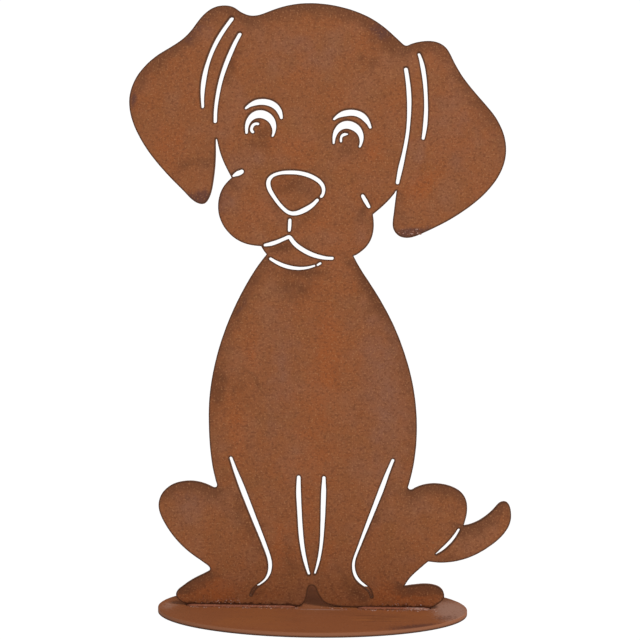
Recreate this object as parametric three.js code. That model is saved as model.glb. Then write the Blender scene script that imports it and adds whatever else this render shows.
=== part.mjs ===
// A sitting puppy cut from one flat sheet of steel, welded upright on an oval base plate.
//
// Millimetres, +Z up. The sheet stands in the plane y = 0 with its front towards -Y.
// The origin is the middle of the base plate's underside.

import * as THREE from 'three';

// ---- Driving dimensions ----

const SHEET = 3;              // thickness of the sheet that the dog is cut from
const BASE_LENGTH = 254;      // oval base plate, along X
const BASE_WIDTH = 128;       // oval base plate, along Y
const BASE_THICKNESS = 4;
const GAP = 0.3;              // air between pieces that touch
const FOOT = BASE_THICKNESS + GAP;   // height of the sheet's lower edge

const BEAD_REACH = 4;         // weld bead, from the sheet's front out over the base plate
const BEAD_RISE = 1.3;        // weld bead, up the sheet's front
const BEAD_SWELL = 0.15;      // share by which a weld bead thins between two swells
const BEAD_PITCH = 9;         // distance between two swells of a weld bead
const LEFT_BEAD = [-104, -12];       // where each weld bead starts and ends, along X
const RIGHT_BEAD = [37, 98];

const FINENESS = 0.07;        // how far a straight facet may stand off its curve
const BASE_SIDES = 96;
const BEAD_STEP = 1.5;        // distance between two sections of a weld bead
const BEAD_SIDES = 5;         // facets round a weld bead's quarter-round section

const RUST = { color: 0x8a5535, roughness: 0.85, metalness: 0.2 };
const DARK_RUST = { color: 0x7c4a2f, roughness: 0.9, metalness: 0.2 };
const WELD_RUST = { color: 0x8c6353, roughness: 0.95, metalness: 0.2 };

// ---- The dog's outline, clockwise as seen from the front ----
//
// A knot is [x, z, heading]: a place on the edge and the direction in which the edge runs
// there, in degrees from +X towards +Z. A corner has two headings, before it and after it.

const LEFT_PAW = [
  [-101, FOOT, 180, 172],
  [-108, 6.5, 150],
  [-112.5, 12.8, 88],
  [-106.5, 19.8, 39],
  [-87, 31.1, 26],
  [-84.1, 34, 92],
];

const LEFT_THIGH = [
  [-86.3, 37.1, 144],
  [-105.2, 50.8, 138],
  [-123.2, 73.6, 118],
  [-127.1, 86, 91],
  [-120.6, 100.2, 41],
  [-100, 106.6, -1],
  [-83, 102.1, -27],
  [-80.4, 101.2, 0],
  [-78.3, 103.4, 92],
];

const LEFT_SIDE = [
  [-79.3, 107, 106],
  [-83.6, 129.7, 96.5],
  [-85.2, 162, 90],
  [-81.1, 199, 78],
  [-71.4, 232.3, 69.5],
  [-56.9, 264, 61.5],
  [-37.2, 293.9, 50, 130],
  [-41.8, 300.8, 118, 176],
];

const LEFT_CHEEK = [
  [-53.3, 302.5, 164.5],
  [-68, 311.2, 134],
  [-77.4, 332, 92],
  [-73.9, 348.3, 61],
  [-66.2, 357.4, 42, 119],
  [-75.6, 377.8, 107.5],
  [-78.4, 389.3, 102],
  [-79.5, 389.3, -90],
];

const LEFT_EAR = [
  [-79.6, 374, -92],
  [-81.4, 355.5, -99],
  [-87.3, 337.7, -130],
  [-93, 336.2, 167],
  [-106.8, 347.3, 136],
  [-131, 373.5, 128.5],
  [-146.6, 398.8, 114],
  [-151.8, 421.5, 89],
  [-147.1, 439, 62.5],
  [-131.6, 456.8, 38.5],
  [-117, 466, 29],
  [-104.4, 474.8, 42],
  [-95.5, 485.2, 54],
  [-86.6, 494.8, 38],
  [-74, 499.7, 2],
  [-64.1, 498, -27],
  [-59.2, 494.6, -32],
  [-48.5, 490.9, -2],
];

const HEAD_TOP = [
  [-37.5, 493.3, 21],
  [-20.8, 498.5, 12],
  [-3, 500.4, 0],
  [21.4, 497.5, -13],
  [48, 487.6, -29],
  [65, 475, -42.5],
  [74, 466.4, -42],
  [77.8, 464.2, 0],
  [81.3, 465.4, 20],
];

const RIGHT_EAR = [
  [91, 467.6, 6],
  [99, 467.5, -8],
  [107.9, 463.9, -37],
  [114.6, 454.3, -65],
  [123.2, 438.7, -56],
  [141.7, 415.6, -49.5],
  [152.2, 401.3, -61],
  [158.6, 379, -89],
  [154.9, 361.5, -114],
  [141.1, 342.3, -135.5],
  [117.6, 324.4, -148],
  [91.2, 310.9, -156],
  [80, 307.2, -173],
  [69.2, 311, 130],
  [66.6, 317.5, 92],
  [67.4, 327.3, 82],
  [69.8, 345.7, 80],
];

const RIGHT_CHEEK = [
  [69.2, 345.7, -118],
  [63.3, 338.1, -132],
  [50.4, 326.5, -139, -80],
  [51.1, 317, -90],
  [49, 306.5, -112],
  [42, 297.1, -141],
  [34.5, 292.4, -160, -64],
];

const RIGHT_SIDE = [
  [45.8, 273.2, -56],
  [61.9, 246.5, -62],
  [74.4, 218, -70.7],
  [82.8, 188, -79],
  [86.3, 152, -90],
  [84.4, 126, -98.5],
  [79.9, 105.8, -106],
];

const RIGHT_THIGH = [
  [79.1, 102.8, -88],
  [81.4, 100.8, 3],
  [84.7, 102.4, 27],
  [102, 106.2, -2],
  [117.7, 102.4, -27],
  [125.2, 95.4, -62],
  [127.1, 86, -91],
  [124.2, 72.1, -108, 8],
];

const TAIL = [
  [135.4, 75.7, 27],
  [147.4, 84.6, 43.5],
  [156.8, 92.1, 2],
  [162.6, 81.5, -88],
  [160.5, 71.7, -117],
  [151.1, 60.1, -139.5],
  [130.1, 46.8, -157],
  [106, 41.7, -179],
  [95.4, 42.5, 175, -138],
];

const RIGHT_PAW = [
  [82.2, 30.6, -134],
  [76, 22, -118, 7],
  [92.5, 24, 1],
  [102.5, 22.6, -20],
  [107.8, 18, -65],
  [108.5, 14, -92],
  [105.5, 9.5, -140],
  [96, FOOT, -165, 180],
];

// The notch between the front paws, open downwards.
const PAW_NOTCH = [
  [26, FOOT, 180, 176],
  [12, 7, 160],
  [5.5, 14, 125],
  [0.2, 21.6, 180],
  [-3.9, 13, -104],
  [-6.5, 6.8, -125],
  [-11, FOOT, -165, 180],
];

const OUTLINE = [
  ...LEFT_PAW, ...LEFT_THIGH, ...LEFT_SIDE, ...LEFT_CHEEK, ...LEFT_EAR, ...HEAD_TOP,
  ...RIGHT_EAR, ...RIGHT_CHEEK, ...RIGHT_SIDE, ...RIGHT_THIGH, ...TAIL, ...RIGHT_PAW, ...PAW_NOTCH,
];

// ---- The drawn lines, cut right through the sheet as slots with round ends ----
//
// A knot of a slot is [x, z, heading, width].

const EAR_SLOTS = [
  [
    [-66.2, 488.6, -128, 3.6], [-77.5, 472.3, -120, 3.8], [-85.3, 455.1, -109, 3.5],
    [-89.7, 436.8, -98, 4.2], [-90.3, 416.4, -85, 2.4],
  ],
  [
    [-59.6, 475.8, -121, 3.4], [-68, 458.7, -113, 4], [-76.7, 432.4, -102, 3.5],
    [-79.9, 404.2, -89, 3],
  ],
  [
    [77.4, 445.1, -80, 3.2], [80, 421.9, -88, 3.6], [79.3, 398.6, -95, 2.7],
    [75.6, 375.7, -102, 2.9], [73, 364.3, -103, 3.6], [70.5, 352.2, -101, 2.6],
  ],
  [
    [88.1, 457.2, -68, 2.4], [91, 447, -79, 3.6], [93.6, 423.4, -87.5, 3],
    [92.9, 397.9, -97, 3.3], [91.4, 388.3, -101, 2.3],
  ],
];

const CHEEK_SLOTS = [
  [[-64.6, 359.2, 33, 2.4], [-61.3, 360.9, 22, 4.3], [-58, 362.4, 32, 3.9]],
  [[42, 341.8, -66, 2.6], [44.3, 337.6, -60, 3.3], [47.1, 332.7, -56, 2.4]],
];

const BROW_SLOTS = [
  [
    [-54.2, 415, 42, 2.4], [-46.1, 419.3, 14, 4.9], [-32.4, 417.8, -28, 5.2],
    [-26.2, 411, -66, 3.8], [-24.9, 406.4, -80, 2.2],
  ],
  [
    [18.6, 405, 44, 2.1], [26.3, 409.3, 15, 5], [35.6, 409.8, -10, 5.2],
    [43.6, 405.5, -47, 4.9], [48.2, 397.8, -72, 2.2],
  ],
];

// Each eye is a crescent, and a short line inside it for the light in the pupil.
const EYE_SLOTS = [
  [
    [-53.8, 394.6, 94, 2.2], [-52.3, 403.9, 62, 4.3], [-45.4, 409.6, 14, 6.6],
    [-36.6, 407.9, -33, 6.5], [-31.4, 400.5, -76, 4.2], [-32.2, 391.8, -115, 1.9],
  ],
  [[-48.5, 395, 150, 2.2], [-49.8, 397.2, 92, 2.5], [-48.3, 400.9, 45, 2.8], [-44.4, 401.7, -22, 2.4]],
  [
    [18.2, 385.2, 90, 1.6], [20, 394.3, 63, 4], [26.9, 400, 13, 6.5],
    [35.6, 398.1, -33, 6.5], [40.7, 390.8, -77, 3.9], [39.6, 382.1, -116, 1.6],
  ],
  [[24.2, 386.5, 92, 1.6], [24.5, 390.2, 68, 2], [27, 392.3, 12, 2.8], [29.3, 392.5, -4, 1.6]],
];

// The nose hangs in its slot from a narrow bridge at the lower right.
const NOSE_SLOT = [
  [8, 341.4, 48, 2.4], [9.9, 346.7, 90, 2.7], [3.4, 356, 148, 3.4], [-16.5, 361.5, 179, 3.3],
  [-30.5, 359.7, -158, 2.8], [-35.8, 353.3, -93, 3.6], [-29.9, 339.6, -56, 2.8],
  [-22.2, 330.7, -42, 2.8], [-15, 327.6, 0, 3.4], [-4.9, 330.9, 27, 4.2], [4.6, 338.4, 50, 2.8],
];

const MOUTH_SLOTS = [
  [[-18, 322.2, -90, 2.6], [-18.1, 318, -91, 2.9], [-18.4, 313.7, -92, 2.4]],
  [
    [-38.6, 301.7, 6, 2.3], [-33.5, 302.7, 14, 3.3], [-23.9, 306.2, 24, 3], [-19.7, 308.1, 26, 3],
    [-17.6, 307.5, -58, 3], [-13.4, 302.2, -45, 3.4], [-5.2, 296.4, -30, 3.6],
    [3.9, 292.5, -17, 3.3], [17, 290.5, 1, 2.4],
  ],
  [[-34.1, 290.4, -33, 2.2], [-22.7, 284.6, -19, 3], [-10.1, 282.3, -1, 2.5], [2.2, 284.4, 19, 1.6]],
  [[5, 285.2, 28, 1.8], [7.1, 286.4, 30, 1.9]],
];

const LEG_SLOTS = [
  [
    [-66.8, 125.6, -72, 2.6], [-58.4, 103.4, -68.5, 4.5], [-46.7, 73.7, -68, 4.2],
    [-37.9, 51.5, -70, 3.5], [-34.3, 37, -91, 3.1], [-37.2, 27, -124, 1.9],
    [-43.2, 21.6, -146, 1.5], [-48.2, 17, -128, 1.4], [-50, 13, -110, 1.3],
  ],
  [
    [-10.6, 110.3, -92, 3], [-10.8, 99, -89, 3.9], [-9.9, 80, -87, 3.7],
    [-8.5, 60, -84, 3.7], [-5.1, 40.5, -76, 3], [-2.3, 31, -71, 2.1],
  ],
  [
    [10.2, 110.2, -92, 2.6], [9.9, 99, -92, 3.9], [9.3, 80, -92, 3.7],
    [8.3, 60, -94, 2.7], [5.4, 40.5, -103, 2], [2.7, 31.4, -108, 1.3],
  ],
  [
    [66.7, 124.8, -115, 2.4], [58, 102.6, -111, 3.8], [46.6, 73.3, -111.5, 3.1],
    [38.1, 51.4, -111, 2.1], [34.4, 38, -90, 2.1], [36.7, 28.8, -60, 2.7],
    [42.5, 22.7, -34, 2.4], [47.2, 18.6, -54, 1.8], [49.4, 13, -80, 1.4],
  ],
];

const TAIL_SLOT = [
  [120.2, 68.6, -118, 2], [114.2, 59.7, -130, 2.7], [106.2, 51.9, -139, 2.3], [102, 48.7, -144, 1],
];

const SLOTS = [
  ...EAR_SLOTS, ...CHEEK_SLOTS, ...BROW_SLOTS, ...EYE_SLOTS, NOSE_SLOT, ...MOUTH_SLOTS, ...LEG_SLOTS,
  TAIL_SLOT,
];

// ---- Curves through knots ----

function direction(degrees) {
  const angle = THREE.MathUtils.degToRad(degrees);
  return new THREE.Vector2(Math.cos(angle), Math.sin(angle));
}

// The smallest turn, in radians, from one direction to another: positive is anticlockwise.
function turn(from, to) {
  return Math.atan2(from.cross(to), from.dot(to));
}

// Hobby's rule for a smooth curve between two knots: the length of a handle as a share of the
// straight distance, where the curve leaves that line by one angle and meets it by the other.
function handle(leaving, meeting) {
  const skew = Math.SQRT2
    * (Math.sin(leaving) - Math.sin(meeting) / 16)
    * (Math.sin(meeting) - Math.sin(leaving) / 16)
    * (Math.cos(leaving) - Math.cos(meeting));
  const spread = 1
    + (Math.sqrt(5) - 1) / 2 * Math.cos(leaving)
    + (3 - Math.sqrt(5)) / 2 * Math.cos(meeting);
  return (2 + skew) / (3 * spread);
}

function place(knot) {
  return new THREE.Vector2(knot[0], knot[1]);
}

// The curve from one knot to the next, leaving and arriving at the headings given, and the
// number of facets that it needs.
function bend(knot, headingOut, nextKnot, headingIn) {
  const start = place(knot);
  const end = place(nextKnot);
  const chord = end.clone().sub(start);
  const length = chord.length();
  const out = direction(headingOut);
  const into = direction(headingIn);
  const leaving = turn(chord, out);
  const meeting = turn(into, chord);
  const curve = new THREE.CubicBezierCurve(
    start,
    start.clone().addScaledVector(out, length * handle(leaving, meeting)),
    end.clone().addScaledVector(into, -length * handle(meeting, leaving)),
    end,
  );
  const bulge = length * (Math.abs(leaving) + Math.abs(meeting)) / 8;
  return { curve, facets: Math.ceil(Math.sqrt(bulge / FINENESS)) || 1 };
}

// The closed outline through a ring of knots.
function ring(knots) {
  return knots.flatMap((knot, i) => {
    const next = knots[(i + 1) % knots.length];
    const { curve, facets } = bend(knot, knot[3] ?? knot[2], next, next[2]);
    return curve.getPoints(facets).slice(0, -1);
  });
}

// ---- Slots ----

// Half a circle round one end of a slot, as wide as the slot there, from its right side to its
// left side. Its middle points along the heading.
function roundEnd(knot, heading) {
  const radius = knot[3] / 2;
  const facets = Math.ceil(Math.PI / 2 / Math.acos(1 - FINENESS / radius));
  const points = [];
  for (let i = 1; i < facets; i++) {
    const spoke = direction(heading + 180 * (i / facets - 0.5));
    points.push(place(knot).addScaledVector(spoke, radius));
  }
  return points;
}

// The closed outline of a slot. Its two sides run half its width from the line through the
// knots, and its width changes smoothly from knot to knot.
function slot(knots) {
  const first = knots[0];
  const last = knots[knots.length - 1];
  const spans = knots.length - 1;
  const widths = new THREE.SplineCurve(knots.map((knot, i) => new THREE.Vector2(i, knot[3])));
  const right = [];
  const left = [];
  const addSides = (centre, tangent, width) => {
    const side = new THREE.Vector2(tangent.y, -tangent.x);
    right.push(centre.clone().addScaledVector(side, width / 2));
    left.push(centre.clone().addScaledVector(side, -width / 2));
  };
  addSides(place(first), direction(first[2]), first[3]);
  for (let i = 0; i < spans; i++) {
    const { curve, facets } = bend(knots[i], knots[i][2], knots[i + 1], knots[i + 1][2]);
    const steps = Math.max(facets, 2);
    for (let step = 1; step <= steps; step++) {
      const along = step / steps;
      const width = widths.getPoint((i + along) / spans).y;
      addSides(curve.getPoint(along), curve.getTangent(along), width);
    }
  }
  return [
    ...right,
    ...roundEnd(last, last[2]),
    ...left.reverse(),
    ...roundEnd(first, first[2] + 180),
  ];
}

// ---- Pieces ----

function dogGeometry() {
  const shape = new THREE.Shape(ring(OUTLINE));
  shape.holes = SLOTS.map((knots) => new THREE.Path(slot(knots)));
  const geometry = new THREE.ExtrudeGeometry(shape, { depth: SHEET, bevelEnabled: false });
  geometry.rotateX(Math.PI / 2);
  geometry.translate(0, SHEET / 2, 0);
  return geometry;
}

function baseGeometry() {
  const oval = new THREE.Shape();
  oval.absellipse(0, 0, BASE_LENGTH / 2, BASE_WIDTH / 2, 0, 2 * Math.PI);
  return new THREE.ExtrudeGeometry(oval, {
    depth: BASE_THICKNESS,
    bevelEnabled: false,
    curveSegments: BASE_SIDES,
  });
}

// A closed skin over a row of sections with equal numbers of points, with flat ends.
function loft(sections) {
  const count = sections[0].length;
  const positions = sections.flat().flatMap((point) => [point.x, point.y, point.z]);
  const faces = [];
  for (let row = 0; row < sections.length - 1; row++) {
    for (let i = 0; i < count; i++) {
      const a = row * count + i;
      const b = row * count + (i + 1) % count;
      faces.push(a, b, b + count, a, b + count, a + count);
    }
  }
  const last = (sections.length - 1) * count;
  for (let i = 1; i < count - 1; i++) {
    faces.push(0, i + 1, i);
    faces.push(last, last + i, last + i + 1);
  }
  const geometry = new THREE.BufferGeometry();
  geometry.setAttribute('position', new THREE.Float32BufferAttribute(positions, 3));
  geometry.setIndex(faces);
  geometry.computeVertexNormals();
  return geometry;
}

// A low fillet weld in the corner between the sheet's front and the base plate: quarter-round
// sections that swell and thin along X and run out at both ends.
function beadGeometry([fromX, toX]) {
  const corner = -SHEET / 2 - GAP;
  const steps = Math.round((toX - fromX) / BEAD_STEP);
  const sections = [];
  for (let i = 0; i <= steps; i++) {
    const x = THREE.MathUtils.lerp(fromX, toX, i / steps);
    const fromEnd = Math.min(x - fromX, toX - x);
    const runOut = THREE.MathUtils.smoothstep(fromEnd, -BEAD_REACH, 2 * BEAD_REACH);
    const swell = 1 - BEAD_SWELL * (1 + Math.cos(2 * Math.PI * x / BEAD_PITCH)) / 2;
    const size = runOut * swell;
    const section = [new THREE.Vector3(x, corner, FOOT)];
    for (let k = 0; k <= BEAD_SIDES; k++) {
      const angle = Math.PI / 2 * k / BEAD_SIDES;
      const y = corner - BEAD_REACH * size * Math.sin(angle);
      const z = FOOT + BEAD_RISE * size * Math.cos(angle);
      section.push(new THREE.Vector3(x, y, z));
    }
    sections.push(section);
  }
  return loft(sections);
}

// ---- Assembly ----

function piece(name, geometry, finish) {
  const mesh = new THREE.Mesh(geometry, new THREE.MeshStandardMaterial(finish));
  mesh.name = name;
  return mesh;
}

const dog = new THREE.Group();
dog.add(
  piece('dog_plate', dogGeometry(), RUST),
  piece('base_plate', baseGeometry(), DARK_RUST),
  piece('left_weld_bead', beadGeometry(LEFT_BEAD), WELD_RUST),
  piece('right_weld_bead', beadGeometry(RIGHT_BEAD), WELD_RUST),
);

export default dog;
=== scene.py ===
import math

import bpy
import numpy as np
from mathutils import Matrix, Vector
from mathutils.geometry import delaunay_2d_cdt


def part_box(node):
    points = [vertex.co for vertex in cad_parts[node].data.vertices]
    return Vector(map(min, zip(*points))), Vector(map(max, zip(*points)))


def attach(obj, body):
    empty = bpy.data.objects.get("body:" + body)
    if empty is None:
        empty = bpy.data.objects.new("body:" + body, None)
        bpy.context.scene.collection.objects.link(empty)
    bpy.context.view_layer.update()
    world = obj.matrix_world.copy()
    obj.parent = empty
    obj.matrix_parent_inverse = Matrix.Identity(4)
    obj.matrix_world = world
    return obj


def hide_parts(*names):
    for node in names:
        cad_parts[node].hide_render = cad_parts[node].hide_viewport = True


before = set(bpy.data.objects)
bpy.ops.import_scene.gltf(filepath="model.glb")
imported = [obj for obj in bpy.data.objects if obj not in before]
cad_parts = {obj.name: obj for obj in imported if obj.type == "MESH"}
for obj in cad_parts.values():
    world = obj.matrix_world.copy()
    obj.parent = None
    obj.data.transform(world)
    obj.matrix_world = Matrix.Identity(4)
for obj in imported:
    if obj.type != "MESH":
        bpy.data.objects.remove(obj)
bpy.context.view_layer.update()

# ---- The dog plate ----
# A sitting puppy cut with a laser from one sheet of mild steel, its features as slots right through.
# The cut leaves square walls. Rust has worn their arrises round and covers both faces with a thin matt coat.

MM = 0.001                       # meshes are worked out in millimetres, and turned to metres at the end
lowest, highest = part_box("dog_plate")
SHEET = (highest.y - lowest.y) / MM    # the sheet's thickness
ARRIS = 0.3                      # radius to which the cut edges are worn
ARRIS_STEPS = 3
STEP = 1.4                       # longest step along a cut edge
SHARP_TURN = math.radians(40)    # a cut that turns further at one point has a real corner there,
SHORTEST_SIDE = 1.0              # unless a side next to it is shorter than this
CLOSEST = 0.3                    # corners nearer than this to the one before are left out
ON_FACE = 0.01                   # places this near to the front face lie on it
LEAST_COSINE = 0.6               # at a bend sharper than this, a parallel path comes nearer
FRONT_PITCH = 1.5                # distance between the points that carry the relief of each face
BACK_PITCH = 2.4
MOVED = 0.15                     # they are moved at random by up to so much of that distance,
KEPT_OFF = 0.45                  # and kept so much of it away from the arrises
LONG_SIDE = 4                    # a side so many times longer than the one next to it is straight there
BLOCK = 2000                     # places measured at a time, to save memory
INSIDE = 1                       # the way of joining points up that keeps to the outline
random = np.random.default_rng(11)


def cut_edges(node):
    """The closed edges of a sheet's front face, each as a ring of corners (x, z). An edge of the face is a
    side that only one of its triangles has, and it runs with the metal on its left."""
    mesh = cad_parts[node].data
    places = np.empty(3 * len(mesh.vertices), np.float32)
    mesh.vertices.foreach_get("co", places)
    places = places.reshape(-1, 3) / MM
    triangles = np.empty(3 * len(mesh.polygons), np.int32)
    mesh.loops.foreach_get("vertex_index", triangles)
    triangles = triangles.reshape(-1, 3)
    front = (places[triangles][:, :, 1] < ON_FACE - SHEET / 2).all(axis=1)
    corners, number = np.unique(np.round(places[:, [0, 2]], 3), axis=0, return_inverse=True)
    triangles = number.ravel()[triangles[front]]
    sides = np.concatenate([triangles[:, [0, 1]], triangles[:, [1, 2]], triangles[:, [2, 0]]])
    same_way = sides[:, 0] * len(corners) + sides[:, 1]
    other_way = sides[:, 1] * len(corners) + sides[:, 0]
    ahead = dict(sides[~np.isin(same_way, other_way)].tolist())
    rings = []
    while ahead:
        start, at = ahead.popitem()
        ring = [start]
        while at != start:
            ring.append(at)
            at = ahead.pop(at)
        ring = corners[ring]
        rings.append(ring[np.linalg.norm(ring - np.roll(ring, 1, axis=0), axis=1) > CLOSEST])
    return rings


def walk(corners):
    """Points at most STEP apart on the smooth closed curve through a ring of corners. From one corner to the
    next runs a cubic that starts and ends along the circle through each corner and its neighbours, or along
    the side itself where the corner is sharp or the side a long straight one."""
    side = np.roll(corners, -1, axis=0) - corners
    length = np.linalg.norm(side, axis=1)[:, None]
    length_before = np.roll(length, 1, axis=0)
    after = side / length
    before = np.roll(after, 1, axis=0)
    along = before * length + after * length_before
    along = np.where(length > LONG_SIDE * length_before, after, along)
    along = np.where(length_before > LONG_SIDE * length, before, along)
    along /= np.linalg.norm(along, axis=1)[:, None]
    sharp = (before * after).sum(axis=1)[:, None] < math.cos(SHARP_TURN)
    sharp &= np.minimum(length, length_before) > SHORTEST_SIDE
    leaving = length * np.where(sharp, after, along)
    arriving = length * np.roll(np.where(sharp, before, along), -1, axis=0)
    steps = np.ceil(length[:, 0] / STEP).astype(int)
    side_of = np.repeat(np.arange(len(corners)), steps)
    t = ((np.arange(steps.sum()) - (np.cumsum(steps) - steps)[side_of]) / steps[side_of])[:, None]
    return (
        (2 * t**3 - 3 * t**2 + 1) * corners[side_of]
        + (t**3 - 2 * t**2 + t) * leaving[side_of]
        + (3 * t**2 - 2 * t**3) * np.roll(corners, -1, axis=0)[side_of]
        + (t**3 - t**2) * arriving[side_of]
    )


def into_metal(path):
    """For each point of a closed path the direction square to it on its left, longer at a bend, so that a
    parallel path keeps its distance."""
    side = np.roll(path, -1, axis=0) - path
    after = side / np.linalg.norm(side, axis=1)[:, None]
    mean = after + np.roll(after, 1, axis=0)
    mean /= np.linalg.norm(mean, axis=1)[:, None]
    cosine = (mean * after).sum(axis=1)[:, None]
    return np.stack([-mean[:, 1], mean[:, 0]], axis=1) / np.maximum(cosine, LEAST_COSINE)


def nearest_of(points, flat):
    """The number of the nearest point to each place (x, z)."""
    lengths = (points**2).sum(axis=1)
    blocks = [flat[i:i + BLOCK] for i in range(0, len(flat), BLOCK)]
    return np.concatenate([(lengths - 2 * block @ points.T).argmin(axis=1) for block in blocks])


def depth_in_metal(flat):
    """How deep each place (x, z) lies in the metal: its distance to the nearer of the two sides that meet at
    the nearest point of the cuts, and less than nothing where it lies off the metal."""
    nearest = nearest_of(cut, flat)
    away = flat - cut[nearest]
    least = np.full(len(flat), np.inf)
    for other_end in (cut[after[nearest]], cut[before[nearest]]):
        side = other_end - cut[nearest]
        share = np.clip((away * side).sum(axis=1) / (side**2).sum(axis=1), 0, 1)
        least = np.minimum(least, np.linalg.norm(away - share[:, None] * side, axis=1))
    return np.where((away * square[nearest]).sum(axis=1) > 0, least, -least)


def waves(lengths, height, count=48):
    """Random plane waves with lengths between two limits, whose sum is as high as given on average: the
    direction and number of each, its phase and its height."""
    directions = random.normal(size=(count, 3))
    directions /= np.linalg.norm(directions, axis=1)[:, None]
    numbers = 2 * np.pi / random.uniform(*lengths, size=(count, 1))
    return directions * numbers, random.uniform(0, 2 * np.pi, count), height * math.sqrt(2 / count)


def unevenness(places, waved):
    """The sum of plane waves at each place."""
    vectors, phases, height = waved
    return height * np.cos(places @ vectors.T + phases).sum(axis=1)


def face(pitch):
    """One flat face of the sheet inside its arrises: rows of equal triangles, their corners moved a little at
    random, joined up to the arrises' inner rows. Returns the corners that it adds, and the triangles, which
    count the corners of the inner rows first."""
    rise = pitch * math.sqrt(3) / 2
    across, up = ((cut.max(axis=0) - cut.min(axis=0)) / (pitch, rise)).astype(int) + 2
    row, column = np.divmod(np.arange(across * up), across)
    added = cut.min(axis=0) + np.stack([(column + row % 2 / 2) * pitch, row * rise], axis=1)
    added += random.uniform(-MOVED, MOVED, added.shape) * pitch
    added = added[depth_in_metal(added) > ARRIS + KEPT_OFF * pitch]
    corners = np.concatenate([cut + ARRIS * square, added])
    sides = np.stack([np.arange(len(cut)), after], axis=1)
    found = delaunay_2d_cdt([Vector(corner) for corner in corners], sides.tolist(), [], INSIDE, 1e-6)
    triangles = np.array([numbers[0] for numbers in found[3]])[np.array(found[2])]
    in_metal = (triangles >= len(cut)).any(axis=1)
    in_metal[~in_metal] = depth_in_metal(corners[triangles[~in_metal]].mean(axis=1)) > 0
    return added, triangles[in_metal]


def solid(name, places, faces, marks, sharp_rows=None, sharp_angle=50):
    """A piece with its places in millimetres and its faces as lists of corner numbers. Each mark is a named
    number at every place, for the piece's material. Its faces are smooth, except over a sharp angle and
    along the rows of places that are named as sharp."""
    mesh = bpy.data.meshes.new(name)
    mesh.from_pydata((places * MM).tolist(), [], faces)
    for mark, values in marks.items():
        mesh.attributes.new(mark, "FLOAT", "POINT").data.foreach_set("value", values.astype(np.float32))
    mesh.shade_smooth()
    mesh.set_sharp_from_angle(angle=math.radians(sharp_angle))
    if sharp_rows is not None:
        ends = np.empty(2 * len(mesh.edges), np.int32)
        mesh.edges.foreach_get("vertices", ends)
        sharp = np.empty(len(mesh.edges), bool)
        mesh.edges.foreach_get("use_edge_sharp", sharp)
        row = sharp_rows[ends.reshape(-1, 2)]
        mesh.edges.foreach_set("use_edge_sharp", sharp | ((row[:, 0] > 0) & (row[:, 0] == row[:, 1])))
    piece = bpy.data.objects.new(name, mesh)
    bpy.context.scene.collection.objects.link(piece)
    return piece


def spots(places, places_of_spots):
    """How strong listed stains are at each place. A stain is (x, z, half its length, half its width, its
    tilt in degrees, its strength) and fades like a bell curve from its middle; the strongest one counts."""
    strength = np.zeros(len(places))
    for x, z, half_length, half_width, tilt, full in places_of_spots:
        along = np.array([math.cos(math.radians(tilt)), math.sin(math.radians(tilt))])
        away = places[:, [0, 2]] - [x, z]
        u = away @ along / half_length
        v = away @ [-along[1], along[0]] / half_width
        strength = np.maximum(strength, full * np.exp(-(u**2 + v**2)))
    return strength


# The cut edges as one row of points, with the number of the point after and before each.
paths = [walk(corners) for corners in cut_edges("dog_plate")]
cut = np.concatenate(paths)
square = np.concatenate([into_metal(path) for path in paths])
sizes = np.array([len(path) for path in paths])
first, size = np.repeat([np.cumsum(sizes) - sizes, sizes], sizes, axis=1)
number = np.arange(len(cut))
after = first + (number - first + 1) % size
before = np.argsort(after)

# The profile of a wall, from the front face round a quarter-round arris to the back face. inset is how far a
# row lies inside the cut, depth how far behind the sheet's middle, and lean the way it looks: out, and back.
quarter = np.linspace(0, np.pi / 2, ARRIS_STEPS + 1)
inset = ARRIS * (1 - np.sin(quarter))
depth = ARRIS * (1 - np.cos(quarter)) - SHEET / 2
lean = np.stack([np.sin(quarter), -np.cos(quarter)], axis=1)
inset = np.concatenate([inset, [0], inset[::-1]])
depth = np.concatenate([depth, [0], -depth[::-1]])
lean = np.concatenate([lean, [[1, 0]], lean[::-1] * [1, -1]])
rows = len(inset)


def upright(flat, depths):
    """Places (x, z) of the sheet's plane set up as (x, y, z) at given depths."""
    return np.stack([flat[..., 0], np.broadcast_to(depths, flat.shape[:-1]), flat[..., 1]], axis=-1)


wall = upright(cut + inset[:, None, None] * square, depth[:, None])
wall_looks = upright(-lean[:, :1, None] * square, lean[:, 1:])
row = np.arange(rows - 1)[:, None] * len(cut)
next_row = row + len(cut)
quads = np.stack([row + number, next_row + number, next_row + after, row + after], axis=2)
front, front_triangles = face(FRONT_PITCH)
back, back_triangles = face(BACK_PITCH)
places = np.concatenate([wall.reshape(-1, 3), upright(front, -SHEET / 2), upright(back, SHEET / 2)])
looks = np.concatenate([
    wall_looks.reshape(-1, 3),
    np.tile([0.0, -1.0, 0.0], (len(front), 1)),
    np.tile([0.0, 1.0, 0.0], (len(back), 1)),
])
on_walls = rows * len(cut)
front_number = np.concatenate([number, on_walls + np.arange(len(front))])
back_number = np.concatenate([on_walls - len(cut) + number, on_walls + len(front) + np.arange(len(back))])
faces = [
    *quads.reshape(-1, 4).tolist(),
    *front_number[front_triangles].tolist(),
    *back_number[back_triangles][:, ::-1].tolist(),
]
sharp_rows = np.zeros(len(places), int)
sharp_rows[:len(cut)] = 1
sharp_rows[on_walls - len(cut):on_walls] = 2

# How far each place is inside the cut, for the dark line that the burnt edge leaves. On a wall it is less
# than nothing: how far the place is from the nearer face.
to_cut = np.concatenate([
    np.repeat(inset + np.abs(depth) - SHEET / 2, len(cut)), depth_in_metal(front), depth_in_metal(back),
])

places += looks * unevenness(places, waves((4, 14), 0.018))[:, None]
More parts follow.
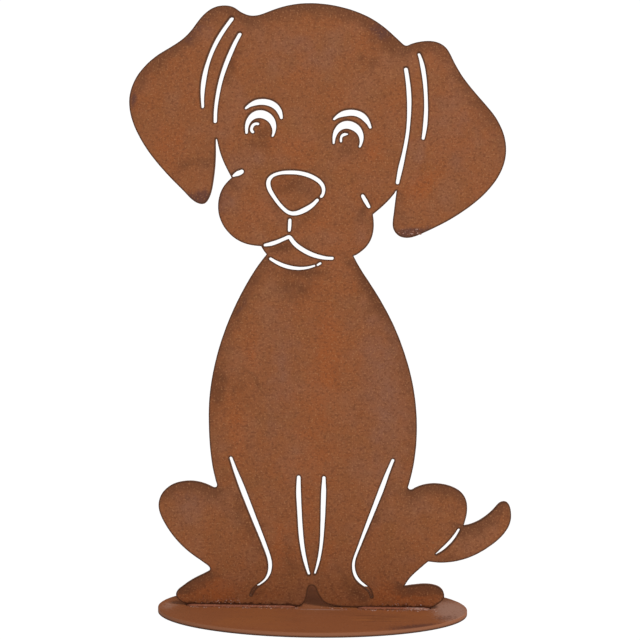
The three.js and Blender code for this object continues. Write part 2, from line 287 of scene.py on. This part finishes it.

# A darker band lies along the outline: full where the edge looks up, weaker at upright edges, none where it
# looks down, fading inwards.
EDGE_BAND_REACH = 10
EDGE_BAND_AT_SIDES = 0.35
outline = max(paths, key=lambda path: np.ptp(path[:, 0]))
looks_up = np.clip(EDGE_BAND_AT_SIDES - (1 - EDGE_BAND_AT_SIDES) * into_metal(outline)[:, 1], 0, 1)
nearest = nearest_of(outline, places[:, [0, 2]])
to_outline = np.linalg.norm(places[:, [0, 2]] - outline[nearest], axis=1)
edge_band = looks_up[nearest] * np.exp(-(to_outline / EDGE_BAND_REACH)**2)

# Stains of the front face: dark rust, purplish mill scale that still shows, dull rust and fresh orange rust.
DARK_STAINS = [
    (-78, 462, 26, 5, 62, 0.4),        # between and beside the folds of the left ear
    (-68, 448, 28, 5, 68, 0.6),
    (-96, 370, 16, 5, 6, 0.5),         # step of tone across the left ear
    (-111, 361, 9, 4, 60, 0.4),
    (60, 466, 17, 12, -38, 0.55),      # right of the head's top
    (48, 452, 14, 9, 0, 0.35),
    (-40, 393, 9, 10, 0, 0.6),         # the eyes, and the shade under them
    (-45, 385, 14, 8, 0, 0.4),
    (32, 389, 9, 10, 0, 0.6),
    (30, 379, 13, 8, 0, 0.4),
    (-14, 352, 20, 12, 0, 0.65),       # the nose, and the creases below it
    (-30, 333, 15, 5, -62, 0.4),
    (-4, 326, 14, 6, 30, 0.5),
    (-12, 318, 5, 9, 0, 0.4),
    (43, 330, 4, 9, -25, 0.7),         # under the right cheek's short slot
    (-22, 300, 17, 5, 8, 0.85),        # the mouth
    (-2, 295, 13, 5, -20, 0.6),
    (-10, 279, 22, 8, 0, 0.75),        # in the shade of the chin
    (-12, 267, 19, 12, 0, 0.6),
    (-20, 259, 9, 4, 0, 0.5),
    (-60, 252, 32, 5, 62, 0.5),        # the shoulders
    (50, 264, 28, 9, -60, 0.75),
    (-78, 186, 20, 9, 90, 0.75),       # dirty water has run down the left side of the body
    (-62, 182, 16, 14, 0, 0.3),
    (-55, 199, 12, 2, -35, 0.4),
    (-44, 187, 8, 2.5, -75, 0.4),
    (-53, 176, 9, 3, 20, 0.35),
    (-53, 74, 36, 9, -65, 0.5),        # inside of the left thigh
    (-19, 45, 18, 6, -80, 0.4),        # between the left leg and the middle slots
    (52, 76, 36, 4, 66, 0.45),
    (-46, 16, 9, 5, 0, 0.45),          # ends of the legs' slots
    (38, 16, 11, 7, -30, 0.8),
    (26, 30, 20, 3, -62, 0.4),
    (98, 19, 20, 6, 0, 0.35),          # the paws
    (-106, 14, 12, 6, 40, 0.4),
    (112, 45, 14, 4, 8, 0.5),          # root of the tail
]
SCALE_STAINS = [
    (-148, 422, 9, 3.5, 84, 0.7),      # far edge of the left ear
    (-97, 479, 18, 9, 50, 0.6),        # top of the left ear, and its tip
    (-92, 337, 22, 11, 0, 0.95),
    (56, 477, 14, 8, -38, 0.75),       # right of the head's top
    (82, 310.5, 17, 5, 4, 1.3),        # tip of the right ear
    (-70, 340, 14, 5, 80, 0.35),       # left cheek
    (-58, 250, 34, 4, 62, 0.4),
    (-104, 96, 20, 8, 0, 0.35),
]
DULL_STAINS = [
    (-72, 338, 16, 8, 80, 0.5),        # left cheek
    (-50, 372, 18, 8, 0, 0.4),
    (41, 312, 18, 9, 80, 0.4),
    (-25, 190, 70, 14, 88, 0.35),      # left of the chest
    (62, 185, 80, 24, 92, 0.6),        # right side of the body
    (52, 236, 24, 12, -60, 0.5),
    (-104, 82, 20, 14, 0, 0.45),       # left thigh
    (-8, 460, 34, 18, 0, 0.35),        # the head's top
    (120, 400, 40, 30, 90, 0.35),      # right ear
    (88, 370, 20, 5, 80, 0.5),
]
ORANGE_STAINS = [
    (12, 200, 70, 15, 90, 0.6),        # middle of the chest
    (2, 130, 28, 20, 90, 0.5),
    (-62, 150, 28, 9, 88, 0.5),
    (-50, 218, 24, 8, 90, 0.4),
    (92, 350, 18, 10, 30, 0.6),        # right ear
    (-48, 326, 15, 13, 0, 0.4),        # cheeks, and between the eyes
    (10, 322, 15, 10, 80, 0.4),
    (-14, 384, 18, 12, 0, 0.5),
    (50, 376, 15, 9, 90, 0.5),
    (-118, 388, 24, 14, 0, 0.4),       # left ear
    (0, 86, 24, 7, 90, 0.4),
    (14, 48, 18, 7, 80, 0.5),          # legs and paws
    (-28, 52, 22, 6, 84, 0.5),
    (-82, 16, 34, 14, 0, 0.9),
    (76, 14, 34, 12, 0, 0.9),
]
WELDED = [(-60, 0, 54, 1, 0, 1.6), (76, 0, 26, 1, 0, 1.2)]    # along the foot, wherever there is a weld
marks = {
    "to_cut": to_cut,
    "edge_band": edge_band,
    "dark": spots(places, DARK_STAINS),
    "scale": spots(places, SCALE_STAINS),
    "dull": spots(places, DULL_STAINS),
    "orange": spots(places, ORANGE_STAINS),
    "welded": spots(places * [1, 1, 0], WELDED).clip(0, 1),
}
for stained in ("dark", "scale", "dull", "orange", "welded"):
    marks[stained][places[:, 1] > 0] = 0
dog = solid("dog_sheet", places, faces, marks, sharp_rows=sharp_rows)


def linear(code):
    """The linear colour of an sRGB hex code."""
    shares = np.array([int(code[i:i + 2], 16) / 255 for i in (0, 2, 4)])
    shares = np.where(shares <= 0.04045, shares / 12.92, ((shares + 0.055) / 1.055)**2.4)
    return (*shares, 1)


def add(tree, kind, links=(), **settings):
    """Adds a node of a kind, with its settings, and gives each named or numbered socket a value or a link."""
    node = tree.nodes.new("ShaderNode" + kind)
    for name, value in settings.items():
        setattr(node, name, value)
    for socket, value in links:
        if isinstance(value, bpy.types.NodeSocket):
            tree.links.new(value, node.inputs[socket])
        else:
            node.inputs[socket].default_value = value
    return node


def stain(tree, spread, under, colour, size, levels, most=1.0, lift=None, stretch=(1, 1, 1), detail=2.0):
    """Lays a colour over what is under it, in cloudy patches of that size in millimetres. It starts where the
    cloud passes the first level and covers the most where it passes the second. lift raises the cloud by as
    much, so that a mark at the piece's places decides where the patches are."""
    offset = [float(shift) for shift in random.uniform(-40, 40, 3)]
    grown = add(tree, "Mapping", [
        ("Vector", spread), ("Location", offset), ("Scale", [1 / MM / size / each for each in stretch]),
    ])
    cloud = add(tree, "TexNoise", [
        ("Vector", grown.outputs[0]), ("Scale", 1.0), ("Detail", detail),
    ]).outputs[0]
    if lift is not None:
        cloud = add(tree, "Math", [(0, cloud), (1, lift)], operation="ADD").outputs[0]
    cover = add(tree, "MapRange", [
        ("Value", cloud), ("From Min", levels[0]), ("From Max", levels[1]), ("To Max", most),
    ], interpolation_type="SMOOTHSTEP").outputs[0]
    return add(tree, "Mix", [("Factor", cover), (6, under), (7, linear(colour))], data_type="RGBA").outputs[2]


def rust(name, roughness, pit_size, pit_depth):
    """A new rust material, its tree, the place on the piece, and its shader without colour. Rust is an oxide,
    so it isn't metallic. Its pits are too fine for the mesh, and make its sheen dull and broken."""
    material = bpy.data.materials.new(name)
    material.use_nodes = True
    tree = material.node_tree
    shader = tree.nodes["Principled BSDF"]
    spread = add(tree, "TexCoord").outputs["Object"]
    pits = add(tree, "TexNoise", [("Vector", spread), ("Scale", 1 / MM / pit_size), ("Detail", 3.0)])
    bump = add(tree, "Bump", [("Height", pits.outputs[0]), ("Distance", pit_depth * MM)])
    matt = add(tree, "MapRange", [
        ("Value", pits.outputs[0]), ("To Min", roughness - 0.1), ("To Max", roughness + 0.1),
    ])
    tree.links.new(bump.outputs[0], shader.inputs["Normal"])
    tree.links.new(matt.outputs[0], shader.inputs["Roughness"])
    shader.inputs["Metallic"].default_value = 0.0
    shader.inputs["Specular IOR Level"].default_value = 0.1
    return material, tree, spread, shader


# Rust patina on rolled mild steel, grown in the open air: a thin matt coat of iron oxide. To the eye it is a
# warm brown with cloudy orange and olive patches, and dark burnt cut edges. The real grain is a few tenths
# of a millimetre, so its dark and light specks are drawn 1 to 2 mm wide, to show.
sheet_rust, tree, spread, shader = rust("rust_patina_on_rolled_sheet", 0.88, 0.9, 0.05)
mark = {name: add(tree, "Attribute", attribute_name=name).outputs["Fac"] for name in marks}
colour = add(tree, "RGB")
colour.outputs[0].default_value = linear("8b5433")
colour = colour.outputs[0]
colour = stain(tree, spread, colour, "94532d", 38, (0.42, 0.66), 0.35)
colour = stain(tree, spread, colour, "81522f", 24, (0.50, 0.70), 0.3)
colour = stain(tree, spread, colour, "8c5f47", 30, (0.48, 0.68), 0.3)
colour = stain(tree, spread, colour, "7a492e", 7, (0.50, 0.75), 0.3)
colour = stain(tree, spread, colour, "9b6843", 5, (0.55, 0.78), 0.3)
colour = stain(tree, spread, colour, "845a48", 12, (0.40, 1.60), 0.9, lift=mark["dull"])
colour = stain(tree, spread, colour, "98532b", 12, (0.40, 1.60), 0.9, lift=mark["orange"])
colour = stain(tree, spread, colour, "68402a", 8, (0.45, 1.50), 0.85, lift=mark["edge_band"])
colour = stain(tree, spread, colour, "5e3823", 8, (0.45, 1.55), 0.85, lift=mark["dark"])
colour = stain(tree, spread, colour, "5a3a33", 6, (0.70, 1.35), 0.85, lift=mark["scale"])
colour = stain(tree, spread, colour, "673b26", 1.8, (0.50, 0.68), 0.5, stretch=(1.5, 1, 1))
colour = stain(tree, spread, colour, "ad7850", 1.5, (0.55, 0.70), 0.5)
colour = stain(tree, spread, colour, "5b3422", 1.1, (0.58, 0.68), 0.35)

near_cut = add(tree, "MapRange", [
    ("Value", mark["to_cut"]), ("From Min", 1.7), ("From Max", 0.5), ("To Max", 0.85),
], interpolation_type="SMOOTHSTEP").outputs[0]
colour = add(tree, "Mix", [
    ("Factor", near_cut), (6, colour), (7, linear("4c3021")),
], data_type="RGBA").outputs[2]

# Where there is a weld, the foot of the sheet is painted almost black up to a ragged edge (in metres):
# painted shade of the crevice above the bead, with dark scale.
FOOT_SHADE_FROM = 0.0072
FOOT_SHADE_TO = 0.0058
RAGGED = 0.006
RAGGED_SIZE = 0.0025
ragged = add(tree, "TexNoise", [("Vector", spread), ("Scale", 1 / RAGGED_SIZE), ("Detail", 2.0)]).outputs[0]
height = add(tree, "SeparateXYZ", [("Vector", spread)]).outputs["Z"]
height = add(tree, "Math", [(0, ragged), (1, RAGGED), (2, height)], operation="MULTIPLY_ADD").outputs[0]
foot_shade_and_scale = add(tree, "MapRange", [
    ("Value", height),
    ("From Min", FOOT_SHADE_FROM + RAGGED / 2),
    ("From Max", FOOT_SHADE_TO + RAGGED / 2),
    ("To Max", 0.85),
]).outputs[0]
foot_shade_and_scale = add(tree, "Math", [(0, foot_shade_and_scale), (1, mark["welded"])], operation="MULTIPLY").outputs[0]
colour = add(tree, "Mix", [
    ("Factor", foot_shade_and_scale), (6, colour), (7, linear("421f10")),
], data_type="RGBA").outputs[2]
on_wall = add(tree, "MapRange", [
    ("Value", mark["to_cut"]), ("From Min", -0.2), ("From Max", -0.5),
]).outputs[0]
colour = add(tree, "Mix", [
    ("Factor", on_wall), (6, colour), (7, linear("744e3a")),
], data_type="RGBA").outputs[2]
tree.links.new(colour, shader.inputs["Base Color"])
dog.data.materials.append(sheet_rust)
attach(dog, "root")
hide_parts("dog_plate")

# ---- The base plate ----
# An oval of heavier plate that the figure stands on, cut with the same laser. It lies flat on the ground, so
# water stands on it, and its rust is darker and redder, worn to a pinkish crust at the right end.

lowest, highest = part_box("base_plate")
HALF_LENGTH = highest.x / MM
HALF_WIDTH = highest.y / MM
THICKNESS = highest.z / MM
BASE_ARRIS = 0.5
AROUND = 360                     # places round the oval
ACROSS = 64                      # places from the rim to the middle of the top, with both counted,
UNDER = 12                       # and of the underside
CONTACT_SHADE_HEIGHT = 1.6                       # height up to which the rim's foot is painted dark: a painted contact shadow, with dirt

# The plate's section from the middle of its underside to the middle of its top: share is how far out each
# row lies, inset how far inside the oval, height its height, and up how much it looks up.
share = np.concatenate([
    np.linspace(0, 1, UNDER)[1:], np.ones(2 * ARRIS_STEPS + 1), np.linspace(1, 0, ACROSS)[:-1],
])
rounding = BASE_ARRIS * (1 - np.sin(quarter))
climb = BASE_ARRIS * (1 - np.cos(quarter))
inset = np.concatenate([
    np.full(UNDER - 2, BASE_ARRIS), rounding, [0], rounding[::-1], np.full(ACROSS - 2, BASE_ARRIS),
])
height = np.concatenate([
    np.zeros(UNDER - 2), climb, [THICKNESS / 2], THICKNESS - climb[::-1], np.full(ACROSS - 2, THICKNESS),
])
up = np.concatenate([
    np.full(UNDER - 2, -1), -np.cos(quarter), [0], np.cos(quarter[::-1]), np.full(ACROSS - 2, 1),
])
angle = np.linspace(0, 2 * np.pi, AROUND, endpoint=False)
oval = np.stack([HALF_LENGTH * np.cos(angle), HALF_WIDTH * np.sin(angle)], axis=1)
outside = np.stack([np.cos(angle) / HALF_LENGTH, np.sin(angle) / HALF_WIDTH], axis=1)
outside /= np.linalg.norm(outside, axis=1)[:, None]
flat = share[:, None, None] * (oval - inset[:, None, None] * outside)
level = np.broadcast_to(height[:, None, None], (len(share), AROUND, 1))
places = np.concatenate([flat, level], axis=2).reshape(-1, 3)
side = np.sqrt(1 - up**2)[:, None, None] * outside
outward = np.concatenate([side, np.broadcast_to(up[:, None, None], level.shape)], axis=2).reshape(-1, 3)
places = np.concatenate([places, [[0, 0, 0], [0, 0, THICKNESS]]])
outward = np.concatenate([outward, [[0, 0, -1], [0, 0, 1]]])
row, column = np.meshgrid(np.arange(len(share) - 1), np.arange(AROUND), indexing="ij")
here = (row * AROUND + column).ravel()
beside = (row * AROUND + (column + 1) % AROUND).ravel()
quads = np.stack([here, beside, beside + AROUND, here + AROUND], axis=1)
spoke = np.arange(AROUND)
beside = (spoke + 1) % AROUND
last = (len(share) - 1) * AROUND
bottom_fan = np.stack([np.full(AROUND, len(places) - 2), beside, spoke], axis=1)
top_fan = np.stack([np.full(AROUND, len(places) - 1), last + spoke, last + beside], axis=1)

# Stains of the plate's top, with y in place of z: worn to a pinkish crust, dirty, and streaked by running
# water.
WORN = [
    (114, -6, 18, 34, 0, 1.0),
    (92, -3, 24, 4, 0, 0.7),
    (8, -8, 26, 1.6, 0, 0.9),
    (-118, -4, 10, 16, 0, 0.6),
]
DIRTY = [(88, -46, 34, 8, 14, 0.9), (108, -24, 14, 8, 30, 0.6), (66, -34, 40, 3, 4, 0.4)]
STREAKED = [(52, -28, 50, 22, 0, 1.0)]
seen_from_above = places[:, [0, 2, 1]]
worn = spots(seen_from_above, WORN)
lying = np.clip(outward[:, 2], 0, 1)
places += outward * (lying * (unevenness(places, waves((5, 22), 0.03))
                              + worn * unevenness(places, waves((2.5, 7), 0.06))))[:, None]
base = solid(
    "base_oval",
    places,
    [*quads.tolist(), *bottom_fan.tolist(), *top_fan.tolist()],
    {
        "worn": worn,
        "dirty": spots(seen_from_above, DIRTY),
        "streaked": spots(seen_from_above, STREAKED),
        "rim": 1 - np.abs(outward[:, 2]),
        "low": np.clip(CONTACT_SHADE_HEIGHT - places[:, 2], 0, 1),
    },
)

# The same rust on thicker plate that stays wet: darker and redder, with orange run-off streaks, and a pinkish
# grey crust where it has been rubbed.
base_rust, tree, spread, shader = rust("rust_patina_on_base_plate", 0.85, 1.1, 0.06)
mark = {
    name: add(tree, "Attribute", attribute_name=name).outputs["Fac"]
    for name in ("worn", "dirty", "streaked", "rim", "low")
}
colour = add(tree, "RGB")
colour.outputs[0].default_value = linear("864f2f")
colour = colour.outputs[0]
colour = stain(tree, spread, colour, "90562f", 30, (0.45, 0.66), 0.5, stretch=(2.5, 1, 1))
colour = stain(tree, spread, colour, "7c4a2c", 22, (0.48, 0.70), 0.5, stretch=(2.5, 1, 1))
for streak in ("9c6034", "6f3f27"):
    colour = stain(tree, spread, colour, streak, 3, (1.35, 1.65), 0.8, mark["streaked"], stretch=(14, 1, 1))
colour = stain(tree, spread, colour, "96705f", 2.2, (0.75, 1.35), 0.9, lift=mark["worn"], detail=4.0)
colour = stain(tree, spread, colour, "5c382c", 2.6, (0.75, 1.35), 0.85, lift=mark["dirty"], detail=4.0)
colour = stain(tree, spread, colour, "6b3d2b", 2, (0.58, 0.70), 0.4)
colour = stain(tree, spread, colour, "9c6f52", 1.6, (0.62, 0.74), 0.4)
colour = add(tree, "Mix", [
    ("Factor", mark["rim"]), (6, colour), (7, linear("8c5a40")),
], data_type="RGBA").outputs[2]
# The foot of the rim is painted dark: a painted contact shadow on the ground, with dirt.
colour = add(tree, "Mix", [
    ("Factor", mark["low"]), (6, colour), (7, linear("3a241b")),
], data_type="RGBA").outputs[2]
tree.links.new(colour, shader.inputs["Base Color"])
base.data.materials.append(base_rust)
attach(base, "root")
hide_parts("base_plate")

# ---- The weld beads ----
# Two low runs of weld along the figure's foot, in front of it. They were never dressed, so they are lumpy,
# with a pale crust of burnt-on slag. Against the sheet they are painted near black: painted shade of the
# crevice there, with dark scale.

BEAD_AROUND = 22                 # places round a bead's section
BEAD_STEP = 0.5
RUN_OUT = 6                      # length over which a bead thins out at each end
CREVICE_SHADE_REACH = 2.2                    # reach of the painted crevice shade and dark scale from the sheet, over the last part of which
CREVICE_SHADE_FADE = 0.8               # it fades,
CREVICE_SHADE_SWELL = 1.5              # and which a lump widens by so many times its height
LUMPS_OUT = 0.6                  # a lump stands out by so much of what it stands up
ON_FOOT = 0.05                   # places this near to a bead's underside stay where they are
PALE_ALL_OVER = 0.12
PALE_MORE = 0.4
PALE_RUNS = [(88, 0, 12, 1, 0, 1.0), (-40, 0, 14, 1, 0, 0.3)]    # and paler still there


def bead(node):
    """The places of a weld bead in the room of its node, how lumpy it is at each, and its number of sections.
    Each section is a quarter round towards the front and the top, and a bead is drawn in at both ends."""
    low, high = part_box(node)
    x = np.linspace(low.x / MM, high.x / MM, int((high.x - low.x) / MM / BEAD_STEP))[:, None]
    corner = np.array([high.y, low.z]) / MM
    reach, rise = (high.y - low.y) / MM, (high.z - low.z) / MM
    turn = np.linspace(-0.25, 1.25, BEAD_AROUND) * np.pi / 2
    from_end = np.minimum(x - x[0], x[-1] - x)
    run_out = np.sqrt(np.clip(from_end / RUN_OUT, 0.02, 1))
    out = np.clip(np.sin(turn), 0, 1)
    up = np.clip(np.cos(turn), 0, 1)
    y = corner[0] - reach * run_out * out
    z = corner[1] + rise * run_out * up
    places = np.stack(np.broadcast_arrays(x, y, z), axis=2).reshape(-1, 3)
    lumpy = np.sin(np.clip(turn, 0, np.pi / 2) * 2)
    lumps = unevenness(places, waves((2.2, 6), 0.16)) * np.tile(lumpy, len(x))
    return places, lumps, len(x)


def loft_faces(sections, count):
    """The quads between sections with equal numbers of points, and the two ends, all facing out."""
    row, column = np.meshgrid(np.arange(sections - 1), np.arange(count), indexing="ij")
    here = (row * count + column).ravel()
    beside = (row * count + (column + 1) % count).ravel()
    quads = np.stack([here, beside, beside + count, here + count], axis=1)
    return [*quads.tolist(), list(range(count))[::-1], list(range((sections - 1) * count, sections * count))]


# Rust and burnt-on slag on an undressed weld: rough and quite matt, brown with a paler crust and crumbs.
weld_rust, tree, spread, shader = rust("rust_and_slag_on_weld", 0.92, 0.8, 0.12)
crevice_shade_and_scale_mark = add(tree, "Attribute", attribute_name="crevice_shade_and_scale").outputs["Fac"]
pale_mark = add(tree, "Attribute", attribute_name="pale").outputs["Fac"]
colour = add(tree, "RGB")
colour.outputs[0].default_value = linear("8a543e")
colour = colour.outputs[0]
colour = stain(tree, spread, colour, "b08d80", 1.8, (0.70, 1.10), 0.85, lift=pale_mark)
colour = stain(tree, spread, colour, "5a3426", 1.6, (0.54, 0.68), 0.6)
# Painted shade of the crevice against the sheet, with dark scale: near black.
colour = add(tree, "Mix", [
    ("Factor", crevice_shade_and_scale_mark), (6, colour), (7, linear("3a1a0d")),
], data_type="RGBA").outputs[2]
tree.links.new(colour, shader.inputs["Base Color"])

for name, node in (("left_weld", "left_weld_bead"), ("right_weld", "right_weld_bead")):
    places, lumps, sections = bead(node)
    low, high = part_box(node)
    crevice_shade_and_scale = np.clip(
        (places[:, 1] - high.y / MM + CREVICE_SHADE_REACH + CREVICE_SHADE_SWELL * lumps) / CREVICE_SHADE_FADE, 0, 1,
    )
    places[:, 1] -= LUMPS_OUT * lumps
    places[:, 2] += np.where(places[:, 2] > low.z / MM + ON_FOOT, lumps, 0)
    pale = PALE_ALL_OVER + PALE_MORE * spots(places * [1, 0, 0], PALE_RUNS)
    weld = solid(name, places, loft_faces(sections, BEAD_AROUND), {"crevice_shade_and_scale": crevice_shade_and_scale, "pale": pale})
    weld.data.materials.append(weld_rust)
    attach(weld, "root")
    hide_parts(node)

# ---- Weld spatter ----
# Beads of metal and crumbs of slag that the weld threw out, burnt on to the base plate and the foot of the
# figure, and a scab of it on the tip of the right ear. Each is a low round lump.

BALL_RINGS = 3
BALL_SIDES = 7
dip, sweep = np.meshgrid(
    np.linspace(0, np.pi, BALL_RINGS + 2)[1:-1],
    np.linspace(0, 2 * np.pi, BALL_SIDES, endpoint=False),
    indexing="ij",
)
BALL = np.stack([np.sin(dip) * np.cos(sweep), np.sin(dip) * np.sin(sweep), np.cos(dip)], axis=2)
BALL = np.concatenate([BALL.reshape(-1, 3), [[0, 0, 1], [0, 0, -1]]])
row, column = np.meshgrid(np.arange(BALL_RINGS - 1), np.arange(BALL_SIDES), indexing="ij")
here = (row * BALL_SIDES + column).ravel()
beside = (row * BALL_SIDES + (column + 1) % BALL_SIDES).ravel()
around = np.arange(BALL_SIDES)
around_next = (around + 1) % BALL_SIDES
lowest_ring = (BALL_RINGS - 1) * BALL_SIDES
north = np.full(BALL_SIDES, len(BALL) - 2)
south = np.full(BALL_SIDES, len(BALL) - 1)
BALL_TRIANGLES = np.concatenate([
    np.stack([here, here + BALL_SIDES, beside + BALL_SIDES], axis=1),
    np.stack([here, beside + BALL_SIDES, beside], axis=1),
    np.stack([around, around_next, north], axis=1),
    np.stack([lowest_ring + around_next, lowest_ring + around, south], axis=1),
])


def crumbs(middles, radii, flatness):
    """Lumps round the given middles: balls stretched at random, and flattened by a share along each axis."""
    stretch = random.uniform(0.7, 1.3, (len(middles), 1, 3)) * flatness
    random.uniform(size=len(middles))    # drawn and not used, which moves on every draw after it
    places = middles[:, None, :] + radii[:, None, None] * stretch * BALL
    faces = BALL_TRIANGLES + np.arange(len(middles))[:, None, None] * len(BALL)
    return places.reshape(-1, 3), faces.reshape(-1, 3)


def scatter(count, low, high):
    """Random places in a box, given by its two far corners."""
    return random.uniform(low, high, (count, 3))


top = THICKNESS
front = -SHEET / 2
on_base = np.concatenate([
    scatter(90, (-100, front - 7, top), (-10, front - 1.5, top + 0.1)),
    scatter(20, (8, front - 6, top), (30, front - 1, top + 0.1)),
    scatter(110, (38, front - 8, top), (102, front - 1.5, top + 0.1)),
])
on_foot = np.concatenate([
    scatter(40, (-96, front, 5.5), (-58, front, 10)),
    scatter(14, (40, front, 5.5), (98, front, 8)),
    scatter(34, (71, front, 309.5), (90, front, 314)),
])
base_places, base_faces = crumbs(on_base, random.uniform(0.25, 0.75, len(on_base)), (1.2, 1, 0.6))
foot_places, foot_faces = crumbs(on_foot, random.uniform(0.25, 0.6, len(on_foot)), (1.2, 0.5, 0.8))
places = np.concatenate([base_places, foot_places])
faces = np.concatenate([base_faces, foot_faces + len(base_places)])
pale = np.repeat(random.uniform(0, 0.7, len(on_base) + len(on_foot)), len(BALL))
spatter_marks = {"pale": pale, "crevice_shade_and_scale": np.zeros(len(places))}
spatter = solid("weld_spatter", places, faces.tolist(), spatter_marks, sharp_angle=80)
spatter.data.materials.append(weld_rust)
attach(spatter, "root")

# ---- Floor, light and camera ----
# The figure stands on a table of lit white acrylic in a white room, as a seller's goods do, with one large
# softbox high on the right in front. So it throws no shadow that shows, and its rust is evenly lit.

FLOOR = 40                       # half the floor's side, in metres
corners = [(-FLOOR, -FLOOR, 0), (FLOOR, -FLOOR, 0), (FLOOR, FLOOR, 0), (-FLOOR, FLOOR, 0)]
floor_mesh = bpy.data.meshes.new("floor")
floor_mesh.from_pydata(corners, [], [(0, 1, 2, 3)])
floor = bpy.data.objects.new("floor", floor_mesh)
bpy.context.scene.collection.objects.link(floor)
lit_white = bpy.data.materials.new("lit_white_acrylic")
lit_white.use_nodes = True
shader = lit_white.node_tree.nodes["Principled BSDF"]
shader.inputs["Base Color"].default_value = (0.05, 0.05, 0.05, 1)
shader.inputs["Roughness"].default_value = 1.0
shader.inputs["Specular IOR Level"].default_value = 0.0
shader.inputs["Emission Color"].default_value = (1, 1, 1, 1)
shader.inputs["Emission Strength"].default_value = 1.0
floor_mesh.materials.append(lit_white)

ROOM_LIGHT = 0.45                # what the room throws on the figure
ROOM_SEEN = 1.05                 # and how bright it is to the camera: white
room = bpy.data.worlds.new("white_room")
room.use_nodes = True
tree = room.node_tree
background = tree.nodes["Background"]
seen = add(tree, "LightPath").outputs["Is Camera Ray"]
strength = add(tree, "MapRange", [
    ("Value", seen), ("To Min", ROOM_LIGHT), ("To Max", ROOM_SEEN),
]).outputs[0]
background.inputs["Color"].default_value = (1, 1, 1, 1)
tree.links.new(strength, background.inputs["Strength"])
bpy.context.scene.world = room

KEY_TURN = math.radians(50)      # how far the key light stands to the right of straight ahead
KEY_RISE = math.radians(50)
KEY_DISTANCE = 3.2
key_data = bpy.data.lights.new("key_softbox", "AREA")
key_data.size = 1.0
key_data.energy = 72
key = bpy.data.objects.new("key_softbox", key_data)
target = Vector((0, 0, 0.2))
away = Vector((
    math.sin(KEY_TURN) * math.cos(KEY_RISE),
    -math.cos(KEY_TURN) * math.cos(KEY_RISE),
    math.sin(KEY_RISE),
))
key.location = target + KEY_DISTANCE * away
key.rotation_euler = away.to_track_quat("Z", "Y").to_euler()
bpy.context.scene.collection.objects.link(key)

camera_data = bpy.data.cameras.new("camera")
camera_data.sensor_width = 36
camera_data.lens = 51.98
camera = bpy.data.objects.new("camera", camera_data)
camera.location = (0.04645, -0.75961, 0.2398)
camera.rotation_euler = (math.radians(90), 0, math.radians(2.98))
bpy.context.scene.collection.objects.link(camera)
bpy.context.scene.camera = camera
bpy.context.scene.view_settings.view_transform = "Standard"
